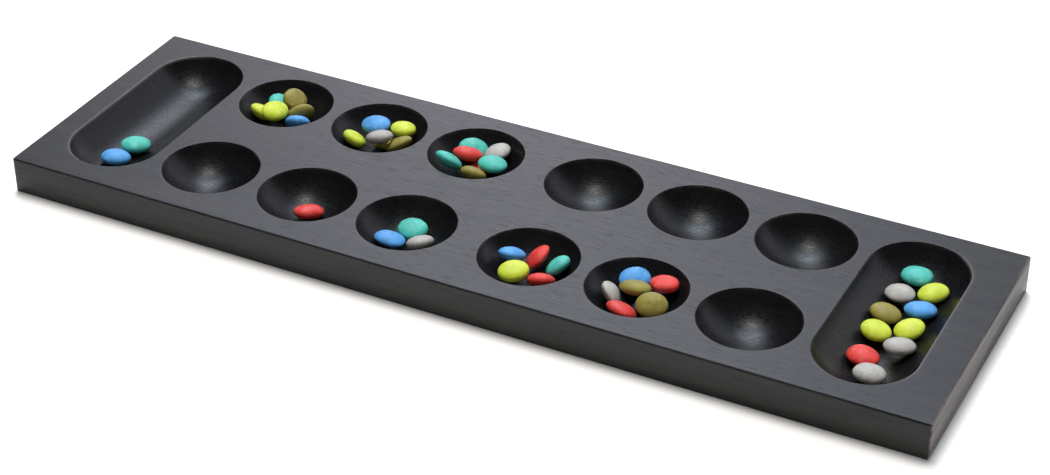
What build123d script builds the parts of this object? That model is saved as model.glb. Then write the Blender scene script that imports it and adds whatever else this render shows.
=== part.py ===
from build123d import *
import os

import numpy as np

# Mancala board: a solid wooden board with twelve pits and two stores, and its 48 loose stones.
# Millimetres, +Z up. X runs along the board and Y across it, from the front edge to the back
# edge. The origin is the centre of the board's underside.

os.makedirs("parts", exist_ok=True)

# ---- driving dimensions -----------------------------------------------------------------------

board_length = 500.0
board_width = 150.0
board_height = 20.0
arris_round = 0.6  # softened outer edges of the board

left_margin = 13.5  # wood left between a cut-out and the edge of the board
right_margin = 19.5
back_margin = 11.0
front_margin = 14.0

pit_land = 7.0  # flat wood between neighbouring cut-outs in a row
middle_land = 17.0  # the wider land half way along a row
row_land = 23.0  # flat wood between the two rows
pit_depth = 14.5
rim_round = 0.5  # softened rim of a pit or a store

stone_length = 16.5
stone_width = 14.0
stone_thickness = 7.5
stone_gap = 0.3  # air between a stone and what it lies on

# ---- places worked out from them --------------------------------------------------------------

pits_in_row = 6
columns = pits_in_row + 2  # a store at each end
length_for_pits = board_length - left_margin - right_margin - middle_land
width_for_pits = board_width - back_margin - front_margin
pit_diameter = min(
    (length_for_pits - (columns - 2) * pit_land) / columns,
    (width_for_pits - row_land) / 2,
)
pit_radius = pit_diameter / 2
pitch = (length_for_pits + pit_land - pit_diameter) / (columns - 1)
middle_step = middle_land - pit_land

first_x = -board_length / 2 + left_margin + pit_radius
column_x = [first_x + i * pitch + (middle_step if i >= columns / 2 else 0) for i in range(columns)]
front_y = -board_width / 2 + front_margin + pit_radius
back_y = board_width / 2 - back_margin - pit_radius
store_y = (front_y + back_y) / 2
store_half = (back_y - front_y) / 2  # from a store's middle to the centre of its rounded end

# every pit is a slice of one ball, and a store is the same ball drawn along Y from row to row
ball_radius = (pit_radius**2 + pit_depth**2) / (2 * pit_depth)
ball_height = board_height - pit_depth + ball_radius
pit_floor = board_height - pit_depth

# ---- where the stones lie ---------------------------------------------------------------------

# The stones of a heap are let down one by one in the order given, each until it meets the wood or
# a stone under it. The numbers of a stone are its offset across and along from the middle of its
# pit, as shares of the pit's radius (in a store, the second is a share of store_half), then three
# angles in degrees: the heading of its long axis from +X towards +Y, the rise of that axis above
# level, and the roll of the stone about it.
heaps = {
    "back_1": [
        ("teal", -0.32, 0.28, -35, -25, -15),
        ("lime", -0.46, -0.26, -60, 25, -35),
        ("olive", 0.28, 0.08, 45, 10, -70),
        ("olive", -0.02, 0.38, 85, -5, 40),
        ("blue", 0.48, -0.34, -50, 40, -15),
        ("lime", -0.04, -0.38, 85, -0, 15),
    ],
    "back_2": [
        ("olive", 0.08, 0.12, 5, 5, -5),
        ("olive", 0.56, -0.18, 0, 35, -10),
        ("lime", -0.42, -0.32, -60, 25, -35),
        ("lime", 0.40, 0.30, -60, 15, -5),
        ("blue", -0.20, 0.20, 0, 5, 5),
        ("grey", 0.18, -0.30, -35, 25, -5),
    ],
    "back_3": [
        ("red", 0.08, 0.06, 65, -5, -10),
        ("olive", 0.20, -0.50, -40, 25, -30),
        ("teal", 0.46, -0.14, -15, 0, -5),
        ("teal", -0.30, 0.46, 15, -15, 30),
        ("red", -0.20, 0.02, 20, -10, -20),
        ("grey", 0.26, 0.46, -75, 5, 15),
        ("teal", -0.38, -0.48, -25, 5, -45),
    ],
    "front_2": [
        ("red", 0.04, -0.04, 50, -10, -15),
    ],
    "front_3": [
        ("teal", -0.04, 0.30, 20, 0, 20),
        ("blue", -0.26, -0.24, 15, -10, -10),
        ("grey", 0.36, -0.12, -85, 25, 20),
    ],
    "front_4": [
        ("red", 0.46, -0.38, -70, 35, -0),
        ("grey", -0.18, -0.22, -70, 20, 5),
        ("red", 0.04, 0.32, 85, 15, -40),
        ("teal", 0.52, 0.22, -60, 25, 35),
        ("blue", -0.40, 0.10, 85, -30, -5),
        ("lime", -0.04, -0.56, 40, 5, 10),
    ],
    "front_5": [
        ("grey", -0.46, -0.12, -75, 25, -50),
        ("blue", -0.26, 0.50, 45, 5, 25),
        ("blue", 0.22, 0.04, 45, 10, -30),
        ("olive", -0.06, 0.06, 0, 5, -20),
        ("red", 0.36, 0.48, -20, 10, 0),
        ("red", -0.04, -0.60, -25, 0, -30),
        ("olive", 0.46, -0.34, 15, 0, 35),
    ],
    "store_left": [
        ("teal", 0.00, -0.60, 40, -5, 0),
        ("blue", -0.08, -1.02, 25, -5, -5),
    ],
    "store_right": [
        ("teal", -0.10, 1.20, 5, 0, 0),
        ("lime", 0.36, 0.90, 55, 5, -5),
        ("grey", -0.20, 0.72, -20, 5, 0),
        ("blue", 0.34, 0.44, 35, -5, -10),
        ("olive", -0.24, 0.24, -15, -5, -5),
        ("lime", 0.34, 0.00, 60, 10, -5),
        ("lime", -0.20, -0.20, -20, -5, 0),
        ("grey", 0.38, -0.46, 35, -5, -10),
        ("red", -0.16, -0.76, -15, 0, 0),
        ("grey", 0.14, -1.11, 0, 0, 0),
    ],
}

stone_axes = np.array([stone_length, stone_width, stone_thickness]) / 2
height_step = 0.02  # fineness of the search for a stone's resting height
reach_rounds = 12  # rounds of the search for the tip of a stone furthest from a ball's middle
contact_shares = np.linspace(0.02, 0.98, 49)  # mixes of two ellipsoids tried for an overlap


def stone_frame(heading, rise, roll):
    """Columns: the long, middle and short axes of a stone lying at these angles."""
    heading, rise, roll = np.radians([heading, rise, roll])
    flat = np.array([np.cos(heading), np.sin(heading), 0.0])
    up = np.array([0.0, 0.0, 1.0])
    long_axis = np.cos(rise) * flat + np.sin(rise) * up
    level = np.cross(up, flat)
    short_axis = np.cos(roll) * np.cross(long_axis, level) - np.sin(roll) * level
    return np.column_stack([long_axis, np.cross(short_axis, long_axis), short_axis])


def spread(frame):
    """The matrix of a stone's squared half sizes, with half the air gap added all round."""
    return frame @ np.diag((stone_axes + stone_gap / 2) ** 2) @ frame.T


def reach(offset, frame, heights):
    """How far a stone at each height reaches from the middle of the ball."""
    centres = np.column_stack([np.tile(offset, (len(heights), 1)), heights - ball_height])
    directions = centres / np.linalg.norm(centres, axis=1)[:, None]
    for _ in range(reach_rounds):
        tips = directions @ spread(frame)
        tips /= np.sqrt(np.sum(directions * tips, axis=1))[:, None]
        furthest = np.linalg.norm(centres + tips, axis=1)
        directions = (centres + tips) / furthest[:, None]
    return furthest


def contact(first, second, apart):
    """Under 1 where two ellipsoids overlap, for each row of the offsets between their middles."""
    values = []
    for share in contact_shares:
        mixed = np.linalg.inv((1 - share) * first + share * second)
        values.append(share * (1 - share) * np.sum(apart @ mixed * apart, axis=1))
    return np.max(values, axis=0)


def let_down(middle, offset, frame, below):
    """The place of a stone let down until it meets the wall of its pit or a stone below it."""
    heights = np.arange(pit_floor, ball_height, height_step)
    blocked = reach(offset, frame, heights) > ball_radius - stone_gap / 2
    for place, other_frame in below:
        across = np.tile(middle + offset - place[:2], (len(heights), 1))
        apart = np.column_stack([across, heights - place[2]])
        blocked |= contact(spread(frame), spread(other_frame), apart) < 1
    return np.array([*(middle + offset), heights[blocked].max() + height_step])


def heap_middle(name, along):
    """Middle of the ball that the stones of a heap lie in, and a stone's offset along from it."""
    row, place = name.split("_")
    if row == "store":
        y = store_y + along * store_half
        nearest = min(max(y, front_y), back_y)
        return np.array([column_x[0 if place == "left" else -1], nearest]), y - nearest
    return np.array([column_x[int(place)], front_y if row == "front" else back_y]), along * pit_radius


stones = []  # colour, number, place, frame, heap
for heap, layout in heaps.items():
    below = []
    for colour, across, along, *angles in layout:
        middle, offset_y = heap_middle(heap, along)
        frame = stone_frame(*angles)
        place = let_down(middle, np.array([across * pit_radius, offset_y]), frame, below)
        below.append((place, frame))
        number = 1 + sum(other[0] == colour for other in stones)
        stones.append((colour, number, place, frame, heap))

# ---- solids -----------------------------------------------------------------------------------

with BuildPart() as store_cutter:
    with BuildSketch() as cutter_profile:
        SlotCenterToCenter(back_y - front_y, 2 * ball_radius, rotation=90)
        split(bisect_by=Plane.YZ)
    revolve(axis=Axis.Y)

with BuildPart() as board:
    Box(
        board_length,
        board_width,
        board_height,
        align=(Align.CENTER, Align.CENTER, Align.MIN),
    )
    fillet(board.edges(), arris_round)
    with Locations(*[(x, y, ball_height) for x in column_x[1:-1] for y in (front_y, back_y)]):
        Sphere(ball_radius, mode=Mode.SUBTRACT)
    with Locations(*[(x, store_y, ball_height) for x in (column_x[0], column_x[-1])]):
        add(store_cutter.part, mode=Mode.SUBTRACT)
    rims = board.faces().sort_by(Axis.Z)[-1].inner_wires()
    fillet(rims.edges(), rim_round)
board.part.label = "board"
export_step(board.part, "parts/board.step")

with BuildPart() as pebble:
    Sphere(1)
    scale(by=tuple(float(axis) for axis in stone_axes))

for colour, number, place, frame, _ in stones:
    seat = Plane(origin=tuple(place), x_dir=tuple(frame[:, 0]), z_dir=tuple(frame[:, 2]))
    with BuildPart(seat) as stone:
        add(pebble.part)
    stone.part.label = f"stone_{colour}_{number}"
    export_step(stone.part, f"parts/{stone.part.label}.step")
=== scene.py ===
from math import pi, radians

import bmesh
import bpy
import numpy as np
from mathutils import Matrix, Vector


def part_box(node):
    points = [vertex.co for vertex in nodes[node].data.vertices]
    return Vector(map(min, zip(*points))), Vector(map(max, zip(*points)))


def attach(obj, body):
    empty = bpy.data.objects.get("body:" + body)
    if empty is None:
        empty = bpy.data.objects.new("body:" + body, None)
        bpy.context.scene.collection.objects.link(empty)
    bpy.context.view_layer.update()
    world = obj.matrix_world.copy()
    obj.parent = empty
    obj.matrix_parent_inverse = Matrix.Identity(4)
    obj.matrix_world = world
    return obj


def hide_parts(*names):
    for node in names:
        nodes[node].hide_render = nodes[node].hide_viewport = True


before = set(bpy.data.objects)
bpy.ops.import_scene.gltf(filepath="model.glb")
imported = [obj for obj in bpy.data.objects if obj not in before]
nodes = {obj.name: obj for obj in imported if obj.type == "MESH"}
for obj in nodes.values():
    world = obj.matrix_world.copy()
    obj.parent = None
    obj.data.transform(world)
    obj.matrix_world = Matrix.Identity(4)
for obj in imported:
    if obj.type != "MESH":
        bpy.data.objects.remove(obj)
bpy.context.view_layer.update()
boardLow, boardHigh = (np.array(corner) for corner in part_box("board"))
scene = bpy.context.scene
print("frame loaded,", len(nodes), "nodes")


# the camera
cameraSetup = {
    "lens": 80.5,  # millimetres
    "place": (0.4586, -0.8855, 0.6574),
    "tilt": 56.64,  # degrees up from straight down
    "turn": 26.81,  # degrees to the left of looking along Y
    "reach": 50,  # metres that it sees
}

camera = bpy.data.objects.new("camera", bpy.data.cameras.new("camera"))
camera.data.lens = cameraSetup["lens"]
camera.data.clip_end = cameraSetup["reach"]
camera.location = cameraSetup["place"]
camera.rotation_euler = (radians(cameraSetup["tilt"]), 0, radians(cameraSetup["turn"]))
scene.collection.objects.link(camera)
scene.camera = camera
print("camera placed")


# meshes and materials in general
weldDistance = 2e-7


def smooth(x, low, high):
    # 0 below low, 1 above high, 3t^2 - 2t^3 between them
    t = np.clip((x - low) / (high - low), 0, 1)
    return t * t * (3 - 2 * t)


def gridFaces(rows, columns):
    # quads between neighbouring rows of a grid; each row's last column joins its first
    row = np.arange(rows - 1)[:, None]
    column = np.arange(columns)[None, :]
    after = (column + 1) % columns
    a = row * columns + column
    b = row * columns + after
    return np.stack([a, b, b + columns, a + columns], -1).reshape(-1, 4)


def meshFromGrids(name, grids):
    # grids: (points, faces) pairs put into one mesh; equal points are welded and faces turned outwards
    points, faces, start = [], [], 0
    for gridPoints, gridQuads in grids:
        points.append(gridPoints.reshape(-1, 3))
        faces.append(gridQuads + start)
        start += len(points[-1])
    mesh = bpy.data.meshes.new(name)
    mesh.from_pydata(np.concatenate(points).tolist(), [], np.concatenate(faces).tolist())
    work = bmesh.new()
    work.from_mesh(mesh)
    bmesh.ops.remove_doubles(work, verts=work.verts, dist=weldDistance)
    bmesh.ops.recalc_face_normals(work, faces=work.faces)
    work.to_mesh(mesh)
    work.free()
    mesh.polygons.foreach_set("use_smooth", np.ones(len(mesh.polygons), bool))
    mesh.update()
    return mesh


def meshPoints(mesh):
    # the mesh's vertices as one array of rows
    flat = np.zeros(len(mesh.vertices) * 3)
    mesh.vertices.foreach_get("co", flat)
    return flat.reshape(-1, 3)


def pointValue(mesh, name, values):
    # stores one number at each vertex
    mesh.attributes.new(name, "FLOAT", "POINT").data.foreach_set("value", values.astype(np.float32))


def place(mesh, body, material, *replaced):
    # an object at the origin that rides on its body and stands for the CAD nodes given
    piece = bpy.data.objects.new(mesh.name, mesh)
    scene.collection.objects.link(piece)
    mesh.materials.append(material)
    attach(piece, body)
    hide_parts(*replaced)
    return piece


class NodeKit:
    # short calls for building a node tree

    def __init__(self, tree):
        self.tree = tree
        tree.nodes.clear()

    def feed(self, socket, value):
        # links another node's output or sets a value; a colour of three numbers is made opaque
        if isinstance(value, bpy.types.NodeSocket):
            self.tree.links.new(value, socket)
        elif socket.type == "RGBA" and len(value) == 3:
            socket.default_value = (*value, 1)
        else:
            socket.default_value = value

    def add(self, kind, inputs=(), **settings):
        # a node with its settings and what goes into it
        node = self.tree.nodes.new("ShaderNode" + kind)
        for key, value in settings.items():
            setattr(node, key, value)
        for key, value in dict(inputs).items():
            self.feed(node.inputs[key], value)
        return node

    def math(self, operation, a, b=0.0, clamp=False):
        # one Math node
        return self.add("Math", {0: a, 1: b}, operation=operation, use_clamp=clamp).outputs[0]

    def plus(self, first, *others):
        # the sum of all
        for other in others:
            first = self.math("ADD", first, other)
        return first

    def times(self, first, *others):
        # the product of all
        for other in others:
            first = self.math("MULTIPLY", first, other)
        return first

    def minus(self, a, b):
        # a less b
        return self.math("SUBTRACT", a, b)

    def mapped(self, value, span, to=(0.0, 1.0), kind="SMOOTHSTEP"):
        # carries a value from one span to another and holds it at the ends
        return self.add("MapRange", {0: value, 1: span[0], 2: span[1], 3: to[0], 4: to[1]},
                        interpolation_type=kind).outputs[0]

    def shifted(self, vector, x=0.0, y=0.0):
        # a place moved along X and Y
        offset = self.add("CombineXYZ", {0: x, 1: y}).outputs[0]
        return self.add("VectorMath", {0: vector, 1: offset}, operation="ADD").outputs[0]

    def noise(self, vector, scale, detail=3.0, roughness=0.5, distortion=0.0, stretch=None):
        # noise from 0 to 1; a small number in stretch draws it out along that axis
        if stretch:
            vector = self.add("Mapping", {"Vector": vector, "Scale": stretch}).outputs[0]
        return self.add("TexNoise", {"Vector": vector, "Scale": scale, "Detail": detail,
                                     "Roughness": roughness, "Distortion": distortion}).outputs[0]

    def attribute(self, name):
        # a number stored at the mesh's vertices
        return self.add("Attribute", attribute_name=name).outputs["Fac"]

    def ramp(self, value, stops):
        # colours at positions from 0 to 1, mixed between them
        node = self.add("ValToRGB", {0: value})
        elements = node.color_ramp.elements
        while len(elements) < len(stops):
            elements.new(0.5)
        for element, (position, colour) in zip(elements, stops):
            element.position = position
            element.color = (*colour, 1)
        return node.outputs[0]

    def mix(self, share, a, b):
        # a where the share is 0 and b where it is 1
        return self.add("Mix", {0: share, 6: a, 7: b}, data_type="RGBA").outputs[2]

    def bump(self, height, relief, normal=None):
        # tilts the normal by the slope of a height; relief: metres at a height of 1, and strength
        inputs = {"Height": height, "Distance": relief[0], "Strength": relief[1]}
        if normal is not None:
            inputs["Normal"] = normal
        return self.add("Bump", inputs).outputs[0]

    def finish(self, shader, output="OutputMaterial"):
        # links the last node to the tree's output
        self.tree.links.new(shader.outputs[0], self.add(output).inputs[0])


def newMaterial(name):
    # an empty material and a kit for its nodes
    material = bpy.data.materials.new(name)
    material.use_nodes = True
    return material, NodeKit(material.node_tree)


# the board
boardSetup = {
    "margins": (0.0135, 0.0195, 0.014, 0.011),  # wood left at the left, right, front and back
    "columns": 8,  # a store at each end and six pits between them
    "pitLand": 0.007,
    "middleStep": 0.010,  # extra land half way along each row
    "rowLand": 0.023,
    "pitDepth": 0.0145,
    "lipRound": 0.0006,
    "flatRings": (3, 0.6),  # mesh rings on the flat round a hollow, in lip rounds out from its lip
    "arris": 0.0006,  # how much the outer edges are softened
    "wornArris": 0.0011,  # the most that they are softened by wear
    "arrisWaves": ((61, 3, 0), (23, -90, 1.3)),  # radians per metre along and across, and the start
    "arrisWaver": 0.15,  # share of the arris that the waves add or take
    "wearReach": 0.05,  # how far the right end's wear reaches along the board
    "wearShare": 0.8,
    "perSide": 26,  # mesh columns along one side of a pit's patch
    "bowlRows": 26,
    "lipRows": 5,
    "cornerPoints": 6,  # outline points round an upright corner
    "topArrisRows": 6,
    "underArrisRows": 4,
    "hollowInset": 1e-5,  # how far inside the lip's edge a hollow starts
    "lipWear": (0.0012, 0.0004, 0.0005),  # inside the lip: where wear starts and is whole; outside: its end
    "faceBand": 0.003,  # lip wear is this near the top, and a hollow at least this far above the underside
}


def boardPlaces(setup):
    # the rows and columns of the pits, worked out from the margins and lands
    left, right, front, back = setup["margins"]
    length, width = (boardHigh - boardLow)[:2]
    count = setup["columns"]
    forPits = length - left - right - setup["middleStep"]
    alongDiameter = (forPits - (count - 1) * setup["pitLand"]) / count
    acrossDiameter = (width - front - back - setup["rowLand"]) / 2
    radius = min(alongDiameter, acrossDiameter) / 2
    pitch = (forPits - 2 * radius) / (count - 1)
    number = np.arange(count)
    columns = boardLow[0] + left + radius + number * pitch + (number >= count / 2) * setup["middleStep"]
    rows = np.array([boardLow[1] + front + radius, boardHigh[1] - back - radius])
    ball = (radius**2 + setup["pitDepth"] ** 2) / (2 * setup["pitDepth"])
    return {"columns": columns, "rows": rows, "ball": ball,
            "ballHeight": boardHigh[2] - setup["pitDepth"] + ball}


def hollowProfile(setup, places):
    # from the flat top inwards: a quarter-round lip, then the ball's arc down to the lowest point
    ball, ballHeight, lip, top = places["ball"], places["ballHeight"], setup["lipRound"], boardHigh[2]
    lipHeight = top - lip
    lipRadius = np.sqrt((ball + lip) ** 2 - (ballHeight - lipHeight) ** 2)
    turn = np.arctan2(lipRadius, ballHeight - lipHeight)
    t = np.linspace(0, turn, setup["lipRows"] + 1)
    lipArc = np.stack([lipRadius - lip * np.sin(t), lipHeight + lip * np.cos(t)], 1)
    s = turn * (1 - np.linspace(0, 1, setup["bowlRows"] + 1)[1:])
    bowl = np.stack([ball * np.sin(s), ballHeight - ball * np.cos(s)], 1)
    flat = np.array([[lipRadius + share * lip, top] for share in setup["flatRings"]])
    return np.concatenate([flat, lipArc, bowl]), lipRadius


def patchEdge(xs, ys):
    # the four sides of a patch in turn, each without its last point
    return np.concatenate([
        np.stack([xs[:-1], np.full(len(xs) - 1, ys[0])], 1),
        np.stack([np.full(len(ys) - 1, xs[-1]), ys[:-1]], 1),
        np.stack([xs[:0:-1], np.full(len(xs) - 1, ys[-1])], 1),
        np.stack([np.full(len(ys) - 1, xs[0]), ys[:0:-1]], 1),
    ])


def hollowPatch(xs, ys, column, lowRow, highRow, profile):
    # a patch of the top with one hollow: its profile carried round the hollow's middle line
    edge = patchEdge(xs, ys)
    middle = np.stack([np.full(len(edge), column), np.clip(edge[:, 1], lowRow, highRow)], 1)
    outward = edge - middle
    outward /= np.linalg.norm(outward, axis=1)[:, None]
    ringPoints = middle[None] + outward[None] * profile[:, :1, None]
    ringHeights = np.broadcast_to(profile[:, 1:, None], (*ringPoints.shape[:2], 1))
    rings = np.concatenate([ringPoints, ringHeights], 2)
    first = np.column_stack([edge, np.full(len(edge), boardHigh[2])])[None]
    points = np.concatenate([first, rings])
    return points, gridFaces(len(points), len(edge))


def boardSides(xs, ys, setup):
    # the outline carried down a profile: quarter-round arris, wall, quarter-round arris, flat underside
    edge = patchEdge(xs, ys)
    alongCount, acrossCount = len(xs) - 1, len(ys) - 1
    side = np.repeat([-90.0, 0.0, 90.0, 180.0], [alongCount, acrossCount, alongCount, acrossCount])
    corners = np.cumsum([0, alongCount, acrossCount, alongCount])
    pointTurns = [np.array([turn]) for turn in side]
    for corner, start in zip(corners, (-180, -90, 0, 90)):
        pointTurns[corner] = np.linspace(start, start + 90, setup["cornerPoints"])
    counts = np.array([len(turns) for turns in pointTurns])
    outline = np.repeat(edge, counts, axis=0)
    turns = np.radians(np.concatenate(pointTurns))
    outward = np.stack([np.cos(turns), np.sin(turns)], 1)
    x, y = outline.T
    waves = [np.sin(along * x + across * y + start) for along, across, start in setup["arrisWaves"]]
    worn = smooth(x, boardHigh[0] - setup["wearReach"], boardHigh[0]) * smooth(-y, boardLow[1], boardHigh[1])
    arris = setup["arris"] * (1 + setup["arrisWaver"] * np.prod(waves, axis=0))
    arris += (setup["wornArris"] - setup["arris"]) * setup["wearShare"] * worn

    def ring(t, face, towards):
        # the outline pushed out by the sine of t, and off its face by one less the cosine
        out = setup["wornArris"] - arris + arris * np.sin(t)
        return np.column_stack([outline + outward * out[:, None], face + towards * arris * (1 - np.cos(t))])

    rows = [ring(t, boardHigh[2], -1) for t in np.linspace(0, pi / 2, setup["topArrisRows"])]
    rows += [ring(t, boardLow[2], 1) for t in np.linspace(pi / 2, 0, setup["underArrisRows"])]
    top = np.column_stack([outline, np.full(len(outline), boardHigh[2])])
    under = np.column_stack([outline, np.full(len(outline), boardLow[2])])
    middle = np.column_stack([outline * 0, np.full(len(outline), boardLow[2])])
    points = np.stack([top, *rows, under, middle])
    return points, gridFaces(len(points), len(outline))


def boardMesh(setup, places):
    # patches side by side, two pits high, with a long patch for the store at each end
    inset, n = setup["wornArris"], setup["perSide"]
    columns, rows = places["columns"], places["rows"]
    between = (columns[1:] + columns[:-1]) / 2
    xBreaks = np.concatenate([[boardLow[0] + inset], between, [boardHigh[0] - inset]])
    yBreaks = np.array([boardLow[1] + inset, rows.mean(), boardHigh[1] - inset])
    xSteps = [np.linspace(a, b, n + 1) for a, b in zip(xBreaks[:-1], xBreaks[1:])]
    ySteps = [np.linspace(a, b, n + 1) for a, b in zip(yBreaks[:-1], yBreaks[1:])]
    allX = np.concatenate([xSteps[0], *[steps[1:] for steps in xSteps[1:]]])
    allY = np.concatenate([ySteps[0], ySteps[1][1:]])
    profile, lipRadius = hollowProfile(setup, places)
    grids = [hollowPatch(xSteps[k], allY, columns[k], rows[0], rows[1], profile) for k in (0, -1)]
    for k in range(1, len(columns) - 1):
        for row in (0, 1):
            grids.append(hollowPatch(xSteps[k], ySteps[row], columns[k], rows[row], rows[row], profile))
    grids.append(boardSides(allX, allY, setup))
    mesh = meshFromGrids("boardWood", grids)

    # what the material reads: the distance from a hollow's middle line, and where hollows and lips are
    x, y, z = meshPoints(mesh).T
    nearest = columns[np.argmin(np.abs(x[:, None] - columns), axis=1)]
    store = (nearest == columns[0]) | (nearest == columns[-1])
    rowHere = rows[(y > rows.mean()).astype(int)]
    middle = np.where(store, np.clip(y, rows[0], rows[1]), rowHere)
    away = np.hypot(x - nearest, y - middle)
    wearStart, wearWhole, wearEnd = setup["lipWear"]
    lipWear = smooth(away, lipRadius - wearStart, lipRadius - wearWhole)
    lipWear *= 1 - smooth(away, lipRadius, lipRadius + wearEnd)
    hollow = (away < lipRadius - setup["hollowInset"]) & (z > boardLow[2] + setup["faceBand"])
    pointValue(mesh, "awayFromMiddle", away)
    pointValue(mesh, "inHollow", hollow)
    pointValue(mesh, "lipWear", lipWear * (z > boardHigh[2] - setup["faceBand"]))
    return mesh


woodSetup = {
    # noise: its scale, detail, roughness, and how it is drawn out along each axis
    "bend": {"scale": 4, "detail": 2, "stretch": (1.2, 3, 3)},
    "sway": 0.010,  # metres that the bend moves the grain across the board
    "rings": {"scale": 14, "detail": 4, "roughness": 0.55, "stretch": (0.35, 9, 9)},
    "streaks": {"scale": 420, "detail": 4, "roughness": 0.6, "stretch": (0.03, 1, 1)},
    "fineStreaks": {"scale": 1500, "detail": 2, "roughness": 0.6, "stretch": (0.02, 1, 1)},
    "pores": {"scale": 1900, "detail": 1, "stretch": (0.05, 1, 1)},
    "blotch": {"scale": 9, "roughness": 0.6},
    "endRings": {"scale": 300, "detail": 4, "roughness": 0.6, "distortion": 0.3, "stretch": (1, 0.05, 1)},
    "rub": {"scale": 60, "detail": 4, "roughness": 0.7},
    "mottle": {"scale": 900, "roughness": 0.6, "stretch": (0.5, 1, 1)},
    "toolWander": {"scale": 55},
    "toolBroad": {"scale": 500},
    "undulation": {"scale": 22, "detail": 2},
    # where a finish starts and is whole, in metres in from a face
    "faceSpan": (0.0009, 0.0003),
    "topSpan": (0.0013, 0.0008),
    "longArrisSpan": (0.0011, 0.0007),
    "endArrisSpan": (0.0014, 0.0009),
    "rightHalf": (0, 0.01),  # along X
    "stores": (0.215, 0.225),  # away from the board's middle, past the stores' middle lines
    # colours by shade of grain, and what is mixed over them with the most that it covers
    "ringShade": 0.45,  # share of the growth rings in the shade, the rest being streaks
    "stain": [(0.34, (0.0022, 0.0022, 0.0026)), (0.50, (0.0050, 0.0049, 0.0053)),
              (0.66, (0.0120, 0.0115, 0.0110))],
    "sideStain": [(0.42, (0.0010, 0.0009, 0.0007)), (0.60, (0.0105, 0.0092, 0.0072))],
    "sideShare": (0.25, 1.0),  # at the left end of a long side, and from paintedSideLightEnd on: painted light, the sides lighter and browner towards the right
    "paintedSideLightEnd": 0.15,
    "endGrain": [(0.38, (0.016, 0.013, 0.012)), (0.52, (0.075, 0.058, 0.051)), (0.66, (0.20, 0.150, 0.132))],
    "endShare": 0.55,
    "rightEndShare": 0.7,
    "blotches": {"colour": (0.0110, 0.0100, 0.0095), "span": (0.35, 0.75), "share": 0.25},
    # painted shade: a darker colour mixed over the walls and floors of the pits and stores
    "paintedHollowShade": {"colour": (0.0028, 0.0029, 0.0033), "share": 0.6},
    "inPores": {"colour": (0.0025, 0.0025, 0.0025), "span": (0.64, 0.72), "share": 0.75},
    "rubSpan": (0.42, 0.7),
    # painted shade: a dark line along the long top edges in place of the dark reflection there
    "longArrisPaintedShade": (0.0012, 0.0012, 0.0013),
    "onEndArris": {"colour": (0.12, 0.095, 0.080), "share": 0.6},
    "onLips": {"colour": (0.08, 0.075, 0.070), "share": 0.35},
    "onStoreLips": {"colour": (0.12, 0.118, 0.116), "share": 0.5},
    "poresInHollows": 0.25,  # share of the pores that the polish of the hollows leaves
    # relief: metres and strength
    "grainRelief": (0.00008, 0.55),
    "fineShare": 0.65,  # share of the fine streaks in the grain's relief
    "poreDepth": 0.9,
    "mottleRelief": (0.00006, 0.3),
    "toolPitch": 0.0014,  # the cutter's step from ring to ring
    "toolWanderSize": 0.0016,
    "toolRelief": (0.000010, 0.35),
    "toolBroadRelief": (0.00008, 0.2),
    "undulationRelief": (0.0006, 0.12),
    # sheen of the lacquer
    "index": 1.42,
    "roughness": (0.25, 0.39),
    "roughnessSpan": (0.3, 0.7),
    "endRougher": 0.08,
    "hollowRoughness": (-0.06, 0.07),
    "hollowSpan": (0.35, 0.65),
    "arrisRougher": 0.25,
    "poreRougher": 0.15,
}


def woodMasks(kit, here, setup):
    # 0 to 1 over the ends, long sides and arrises, by the distance in from the faces, and over the hollows
    x, y, z = kit.add("SeparateXYZ", {0: here}).outputs
    fromMiddle = kit.math("ABSOLUTE", x)
    fromEnd = kit.minus(boardHigh[0], fromMiddle)
    fromSide = kit.minus(boardHigh[1], kit.math("ABSOLUTE", y))
    nearTop = kit.mapped(kit.minus(boardHigh[2], z), setup["topSpan"])
    end = kit.mapped(fromEnd, setup["faceSpan"])
    # painted light: the long sides take more of their lighter stain from left to right, in place of the
    # light that grows along the front face
    leftToRight = kit.mapped(x, (boardLow[0], setup["paintedSideLightEnd"]), setup["sideShare"], "LINEAR")
    return {
        "end": end,
        "rightEnd": kit.times(end, kit.mapped(x, setup["rightHalf"])),
        "side": kit.times(kit.mapped(fromSide, setup["faceSpan"]), leftToRight),
        "longArris": kit.times(kit.mapped(fromSide, setup["longArrisSpan"]), nearTop),
        "endArris": kit.times(kit.mapped(fromEnd, setup["endArrisSpan"]), nearTop),
        "pastStores": kit.mapped(fromMiddle, setup["stores"]),
        "hollow": kit.attribute("inHollow"),
        "lip": kit.attribute("lipWear"),
    }


def woodGrain(kit, here, hollow, setup):
    # noise drawn out along X and bent a little sideways, and noise that lies square to the board
    sway = kit.times(kit.minus(kit.noise(here, **setup["bend"]), 0.5), setup["sway"])
    bent = kit.shifted(here, y=sway)
    grain = {name: kit.noise(bent, **setup[name]) for name in ("rings", "streaks", "fineStreaks", "pores")}
    poresLeft = kit.mapped(hollow, (0, 1), (1.0, setup["poresInHollows"]))
    grain["pores"] = kit.times(kit.mapped(grain["pores"], setup["inPores"]["span"]), poresLeft)
    grain["mottle"] = kit.noise(here, **setup["mottle"])
    return grain


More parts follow.
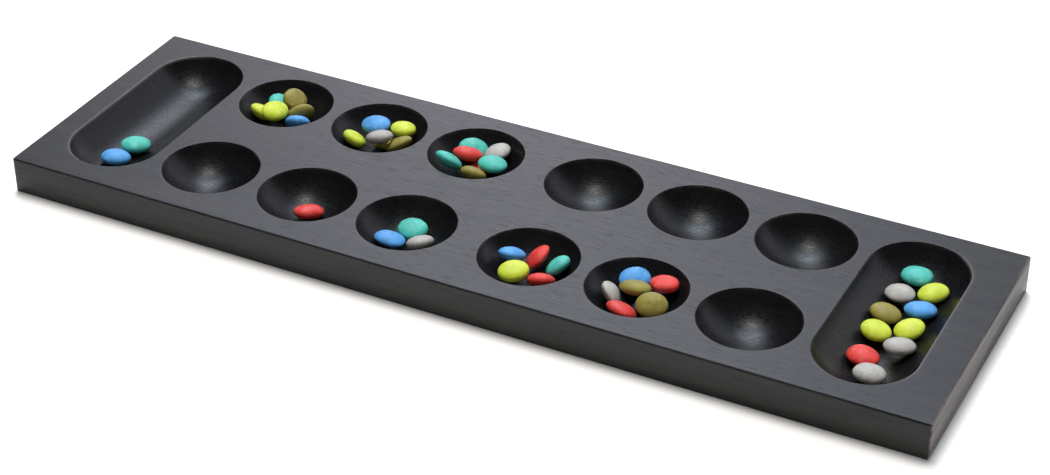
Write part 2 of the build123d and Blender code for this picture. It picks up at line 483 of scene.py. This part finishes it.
def woodColour(kit, here, grain, masks, setup):
    # black stain, thicker in some growth rings than in others, lighter on the long sides towards the right
    # as painted light, darker in the hollows as painted shade, then end grain, a painted dark line on the
    # long arrises, then rubbed edges
    shade = kit.plus(kit.times(grain["rings"], setup["ringShade"]),
                     kit.times(grain["streaks"], 1 - setup["ringShade"]))
    blotches = setup["blotches"]
    blotch = kit.mapped(kit.noise(here, **setup["blotch"]), blotches["span"], (0.0, blotches["share"]))
    colour = kit.mix(blotch, kit.ramp(shade, setup["stain"]), blotches["colour"])
    # painted light: the long sides' lighter stain, more of it towards the right
    colour = kit.mix(masks["side"], colour, kit.ramp(shade, setup["sideStain"]))
    # painted shade darkens the hollows; the pores are the grain's own dark marks
    for mask, over in ((masks["hollow"], setup["paintedHollowShade"]), (grain["pores"], setup["inPores"])):
        colour = kit.mix(kit.times(mask, over["share"]), colour, over["colour"])
    endWood = kit.ramp(kit.noise(here, **setup["endRings"]), setup["endGrain"])
    colour = kit.mix(kit.times(masks["end"], setup["endShare"]), colour, endWood)
    colour = kit.mix(kit.times(masks["rightEnd"], setup["rightEndShare"]), colour, endWood)
    # painted shade: the long arrises darkened into a thin dark line
    colour = kit.mix(masks["longArris"], colour, setup["longArrisPaintedShade"])
    rubbed = kit.mapped(kit.noise(here, **setup["rub"]), setup["rubSpan"])
    for mask, patchy, over in ((masks["endArris"], rubbed, setup["onEndArris"]),
                               (masks["lip"], rubbed, setup["onLips"]),
                               (masks["lip"], masks["pastStores"], setup["onStoreLips"])):
        colour = kit.mix(kit.times(mask, patchy, over["share"]), colour, over["colour"])
    return colour


def woodRelief(kit, here, grain, hollow, setup):
    # streaks and pores over the whole board, and in the hollows the fine rings that the cutter left:
    # the sine of the distance from the middle, which wanders a little
    grainHeight = kit.plus(kit.times(grain["streaks"], 1 - setup["fineShare"]),
                           kit.times(grain["fineStreaks"], setup["fineShare"]))
    grainHeight = kit.minus(grainHeight, kit.times(grain["pores"], setup["poreDepth"]))
    away = kit.attribute("awayFromMiddle")
    wander = kit.times(kit.noise(here, **setup["toolWander"]), setup["toolWanderSize"])
    toolRings = kit.math("SINE", kit.times(kit.plus(away, wander), 2 * pi / setup["toolPitch"]))
    toolBroad = kit.noise(kit.add("CombineXYZ", {0: away}).outputs[0], **setup["toolBroad"])
    normal = kit.bump(grainHeight, setup["grainRelief"])
    normal = kit.bump(kit.times(grain["mottle"], hollow), setup["mottleRelief"], normal)
    normal = kit.bump(kit.times(toolRings, hollow), setup["toolRelief"], normal)
    normal = kit.bump(kit.times(toolBroad, hollow), setup["toolBroadRelief"], normal)
    return kit.bump(kit.noise(here, **setup["undulation"]), setup["undulationRelief"], normal)


def woodRoughness(kit, grain, masks, setup):
    # satin, by the fine streaks, and rougher at the ends, arrises and pores
    mottle = kit.mapped(grain["mottle"], setup["hollowSpan"], setup["hollowRoughness"])
    roughness = kit.plus(
        kit.mapped(grain["fineStreaks"], setup["roughnessSpan"], setup["roughness"], "LINEAR"),
        kit.times(masks["end"], setup["endRougher"]),
        kit.times(masks["hollow"], mottle),
        kit.times(masks["longArris"], setup["arrisRougher"]),
    )
    return kit.math("ADD", roughness, kit.times(grain["pores"], setup["poreRougher"]), clamp=True)


def boardWood(setup):
    # black-stained wood under a satin lacquer
    material, kit = newMaterial("stainedWood")
    here = kit.add("TexCoord").outputs["Object"]
    masks = woodMasks(kit, here, setup)
    grain = woodGrain(kit, here, masks["hollow"], setup)
    kit.finish(kit.add("BsdfPrincipled", {
        "Base Color": woodColour(kit, here, grain, masks, setup),
        "Roughness": woodRoughness(kit, grain, masks, setup),
        "IOR": setup["index"],
        "Normal": woodRelief(kit, here, grain, masks["hollow"], setup),
    }))
    return material


board = place(boardMesh(boardSetup, boardPlaces(boardSetup)), "board", boardWood(woodSetup), "board")
print("board made,", len(board.data.polygons), "faces")


# the playing stones
stoneSetup = {
    "columns": 56,
    "rows": 29,
    "shrink": (0.955, 0.995),  # least and most share of the CAD stone's half sizes
    "roundness": (1.75, 2.15),  # power of the side profile of a rounded stone
    "tabletRoundness": (2.5, 2.7),  # and of a flat one with a belt
    "tabletSize": (0.96, 0.96, 0.88),  # a flat one's share of the half sizes, as it is fuller at its belt
    "tablets": ("stone_lime_5", "stone_red_6", "stone_teal_5", "stone_olive_2"),
    "planPower": (1.95, 2.25),  # power of the outline seen from above
    "narrower": 0.07,  # the most that one end is narrower than the middle
    "thinnerEnd": 0.08,
    "thinnerSide": 0.06,
    "waves": 5,
    "waveSpread": 1.6,  # radians per half size
    "waveHeight": 0.022,
    "firstSeed": 100,
}

stoneColours = {
    "lime": {"deep": (0.30, 0.38, 0.008), "body": (0.52, 0.61, 0.045), "pale": (0.68, 0.74, 0.16)},
    "teal": {"deep": (0.030, 0.24, 0.20), "body": (0.065, 0.46, 0.39), "pale": (0.20, 0.62, 0.55)},
    "blue": {"deep": (0.035, 0.15, 0.38), "body": (0.075, 0.30, 0.66), "pale": (0.22, 0.48, 0.80)},
    "red": {"deep": (0.34, 0.014, 0.010), "body": (0.62, 0.042, 0.034), "pale": (0.78, 0.18, 0.15)},
    "olive": {"deep": (0.12, 0.10, 0.018), "body": (0.25, 0.215, 0.042), "pale": (0.40, 0.36, 0.12)},
    "grey": {"deep": (0.22, 0.212, 0.202), "body": (0.38, 0.37, 0.35), "pale": (0.52, 0.51, 0.49)},
}

stoneSurface = {
    "apart": 3.1,  # how much further a stone's pattern is moved along Y than along X
    "cloud": {"scale": 160, "detail": 4, "roughness": 0.6},
    "cloudSpan": (0.30, 0.70),
    "bodyShare": 0.45,
    "chalk": {"scale": 260, "detail": 5, "roughness": 0.7, "distortion": 0.6},
    "chalkSpan": (0.50, 0.72),
    "chalkShare": (0.0, 0.55),
    "speck": {"scale": 1500, "detail": 2, "roughness": 0.6},
    "speckSpan": (0.55, 0.8),
    "speckShare": (0.0, 0.35),
    "pits": {"scale": 950, "detail": 2, "roughness": 0.7},
    "pitSpan": (0.62, 0.72),
    "pitShade": 0.45,
    "cloudHeight": 0.8,  # against a depth of 1 for the pits
    "relief": (0.00008, 0.6),
    "speckRelief": (0.00003, 0.5),
    "roughness": (0.42, 0.58),
    "index": 1.45,
}


def stoneAxes(node):
    # the middle, the long, middle and short directions and the half sizes of a stone's CAD solid
    mesh = nodes[node].data
    points = meshPoints(mesh)
    corners = np.zeros(len(mesh.loops), np.int64)
    mesh.loops.foreach_get("vertex_index", corners)
    triangles = points[corners.reshape(-1, 3)]
    firstSides, lastSides = triangles[:, 1] - triangles[:, 0], triangles[:, 2] - triangles[:, 0]
    area = np.linalg.norm(np.cross(firstSides, lastSides), axis=1)
    middle = (area[:, None] * triangles.mean(1)).sum(0) / area.sum()
    offsets = triangles.mean(1) - middle
    directions = np.linalg.eigh((offsets * area[:, None]).T @ offsets)[1][:, ::-1].T.copy()
    directions[2] *= np.sign(directions[2, 2])
    directions[0] *= np.sign(directions[0, 0])
    directions[1] = np.cross(directions[2], directions[0])
    half = np.abs((points - middle) @ directions.T).max(0)
    return middle, directions, half


def pebble(seed, tablet, setup):
    # a rounded form of half sizes near 1: powers of cosine and sine set how square its plan and its
    # side are, one end and one side are fuller than the other, and slow waves make it uneven
    chance = np.random.default_rng(seed)

    def either(most):
        return chance.uniform(-most, most)

    def power(value, exponent):
        return np.sign(value) * np.abs(value) ** (2 / exponent)

    side = chance.uniform(*setup["tabletRoundness" if tablet else "roundness"])
    plan = chance.uniform(*setup["planPower"])
    around = np.linspace(0, 2 * pi, setup["columns"], endpoint=False)[None, :]
    up = np.linspace(-pi / 2, pi / 2, setup["rows"])[:, None]
    ring = power(np.clip(np.cos(up), 0, 1), side)
    x = ring * power(np.cos(around), plan)
    y = ring * power(np.sin(around), plan)
    z = power(np.sin(up), side) + 0 * around
    y = y * (1 + either(setup["narrower"]) * x)
    z = z * (1 + either(setup["thinnerEnd"]) * x + either(setup["thinnerSide"]) * y)
    points = np.stack([x, y, z], -1)
    waves = chance.normal(0, setup["waveSpread"], (setup["waves"], 3))
    phases = chance.uniform(0, 2 * pi, setup["waves"])
    unevenness = np.sin(points @ waves.T + phases).sum(-1) / setup["waves"]
    points = points * (1 + setup["waveHeight"] * unevenness[..., None])
    points /= np.abs(points).max((0, 1))
    points[0], points[-1] = points[0].mean(0), points[-1].mean(0)
    return points * chance.uniform(*setup["shrink"], 3) * (setup["tabletSize"] if tablet else 1)


def stoneFinish(colour, tones, setup):
    # matt pebble: cloudy tone, chalky patches, pale specks and fine pits, at another place on each stone
    material, kit = newMaterial(colour + "Stone")
    random = kit.add("ObjectInfo").outputs["Random"]
    here = kit.shifted(kit.add("TexCoord").outputs["Object"], random, kit.times(random, setup["apart"]))
    cloud = kit.noise(here, **setup["cloud"])
    speck = kit.noise(here, **setup["speck"])
    pits = kit.mapped(kit.noise(here, **setup["pits"]), setup["pitSpan"])
    tone = kit.mix(kit.mapped(cloud, setup["cloudSpan"]), tones["deep"], tones["body"])
    tone = kit.mix(setup["bodyShare"], tone, tones["body"])
    chalk = kit.mapped(kit.noise(here, **setup["chalk"]), setup["chalkSpan"], setup["chalkShare"])
    tone = kit.mix(chalk, tone, tones["pale"])
    tone = kit.mix(kit.mapped(speck, setup["speckSpan"], setup["speckShare"]), tone, tones["pale"])
    tone = kit.mix(kit.times(pits, setup["pitShade"]), tone, tones["deep"])
    normal = kit.bump(kit.minus(kit.times(cloud, setup["cloudHeight"]), pits), setup["relief"])
    normal = kit.bump(speck, setup["speckRelief"], normal)
    kit.finish(kit.add("BsdfPrincipled", {
        "Base Color": tone,
        "Roughness": kit.mapped(cloud, setup["cloudSpan"], setup["roughness"], "LINEAR"),
        "IOR": setup["index"],
        "Normal": normal,
    }))
    return material


stoneMaterials = {colour: stoneFinish(colour, tones, stoneSurface) for colour, tones in stoneColours.items()}
stoneNames = sorted(name for name in nodes if name.startswith("stone_"))
for number, name in enumerate(stoneNames):
    colour, count = name.split("_")[1:]
    middle, directions, half = stoneAxes(name)
    form = pebble(stoneSetup["firstSeed"] + number, name in stoneSetup["tablets"], stoneSetup)
    points = middle + (form * half) @ directions
    quads = gridFaces(stoneSetup["rows"], stoneSetup["columns"])
    mesh = meshFromGrids(colour + "Pebble" + count, [(points, quads)])
    stone = place(mesh, name, stoneMaterials[colour], name)
print("stones made,", len(stoneNames))


# floor, light and surroundings
floorSetup = {
    "size": 8.0,  # half of its side
    "gap": 0.0002,  # below the board
    "colour": (0.84, 0.84, 0.84),
    "glow": 0.06,  # seen straight on only, so that it lights nothing
    "roughness": 0.9,
    "specular": 0.1,
}

lampSetup = {
    "colour": (1.0, 0.97, 0.92),
    "lamps": {
        "softbox": {"power": 42, "size": 1.0, "place": (-0.16, 0.32, 2.3), "glossy": False},
        "glint": {"power": 13, "size": 0.8, "place": (-0.16, 0.30, 2.3), "glossy": True},
        "fill": {"power": 8, "size": 1.6, "place": (0.3, -1.5, 1.3), "glossy": False},
    },
}

roomSetup = {
    "farSide": (-0.451, 0.892, 0.0),  # level directions: to the far wall, and along it
    "alongWall": (0.892, 0.451, 0.0),
    "darkLevel": 0.04,
    "panels": {  # each is bright where its masks are 1: a measure of direction, where it is 0 and where 1
        "wall": {"level": 3.16, "masks": (("far", 0.0, 0.2), ("fromMiddle", 0.29, 0.0),
                                          ("height", 0.02, 0.20), ("height", 0.97, 0.62))},
        "window": {"level": 6.8, "masks": (("far", 0.0, 0.2), ("fromMiddle", 0.42, 0.12),
                                           ("height", 0.66, 0.76), ("height", 0.96, 0.84))},
        "sideWall": {"level": 0.9, "masks": (("far", 0.0, 0.2), ("along", 0.14, 0.45),
                                             ("height", 0.02, 0.20), ("height", 0.97, 0.62))},
        "behind": {"level": 0.22, "masks": (("far", -0.3, -0.6), ("height", 0.6, 0.3))},
        "ceiling": {"level": 0.02, "masks": (("height", 0.6, 0.95),)},
    },
    "wallColour": (0.925, 0.91, 1.0),
    "windowColour": (0.74, 0.86, 1.0),
    "coolHeights": (0.60, 0.74),  # where the wall's colour gives way to the window's
}


def layFloor(setup):
    # a flat square just under the board
    size, z = setup["size"], boardLow[2] - setup["gap"]
    corners = [(-size, -size, z), (size, -size, z), (size, size, z), (-size, size, z)]
    mesh = bpy.data.meshes.new("floor")
    mesh.from_pydata(corners, [], [(0, 1, 2, 3)])
    material, kit = newMaterial("paleFloor")
    glow = kit.times(kit.add("LightPath").outputs["Is Camera Ray"], setup["glow"])
    kit.finish(kit.add("BsdfPrincipled", {
        "Base Color": setup["colour"],
        "Roughness": setup["roughness"],
        "Specular IOR Level": setup["specular"],
        "Emission Color": (1, 1, 1),
        "Emission Strength": glow,
    }))
    mesh.materials.append(material)
    floor = bpy.data.objects.new("floor", mesh)
    scene.collection.objects.link(floor)


def hangLamps(setup):
    # round lamps, each turned to the origin
    for name, lampFacts in setup["lamps"].items():
        lamp = bpy.data.objects.new(name, bpy.data.lights.new(name, "AREA"))
        lamp.data.shape = "DISK"
        lamp.data.size = lampFacts["size"]
        lamp.data.energy = lampFacts["power"]
        lamp.data.color = setup["colour"]
        lamp.location = lampFacts["place"]
        lamp.rotation_euler = Vector(lampFacts["place"]).to_track_quat("Z", "Y").to_euler()
        lamp.visible_glossy = lampFacts["glossy"]
        scene.collection.objects.link(lamp)


def buildRoom(setup):
    # a dark room whose panels light the board by direction; the camera sees plain white instead
    world = bpy.data.worlds.new("studio")
    scene.world = world
    world.use_nodes = True
    kit = NodeKit(world.node_tree)
    direction = kit.add("TexCoord").outputs["Generated"]

    def towards(side):
        return kit.add("VectorMath", {0: direction, 1: side}, operation="DOT_PRODUCT").outputs["Value"]

    along = towards(setup["alongWall"])
    measures = {
        "far": towards(setup["farSide"]),
        "along": along,
        "fromMiddle": kit.math("ABSOLUTE", along),
        "height": kit.add("SeparateXYZ", {0: direction}).outputs[2],
    }
    level = setup["darkLevel"]
    for panel in setup["panels"].values():
        masks = [kit.mapped(measures[measure], (dark, bright)) for measure, dark, bright in panel["masks"]]
        level = kit.plus(kit.times(*masks, panel["level"]), level)
    seen = kit.add("LightPath").outputs["Is Camera Ray"]
    level = kit.plus(kit.times(level, kit.minus(1.0, seen)), seen)
    cool = kit.mapped(measures["height"], setup["coolHeights"])
    tint = kit.mix(seen, kit.mix(cool, setup["wallColour"], setup["windowColour"]), (1.0, 1.0, 1.0))
    kit.finish(kit.add("Background", {"Color": tint, "Strength": level}), "OutputWorld")


layFloor(floorSetup)
hangLamps(lampSetup)
buildRoom(roomSetup)
scene.view_settings.view_transform = "Standard"
print("studio made")
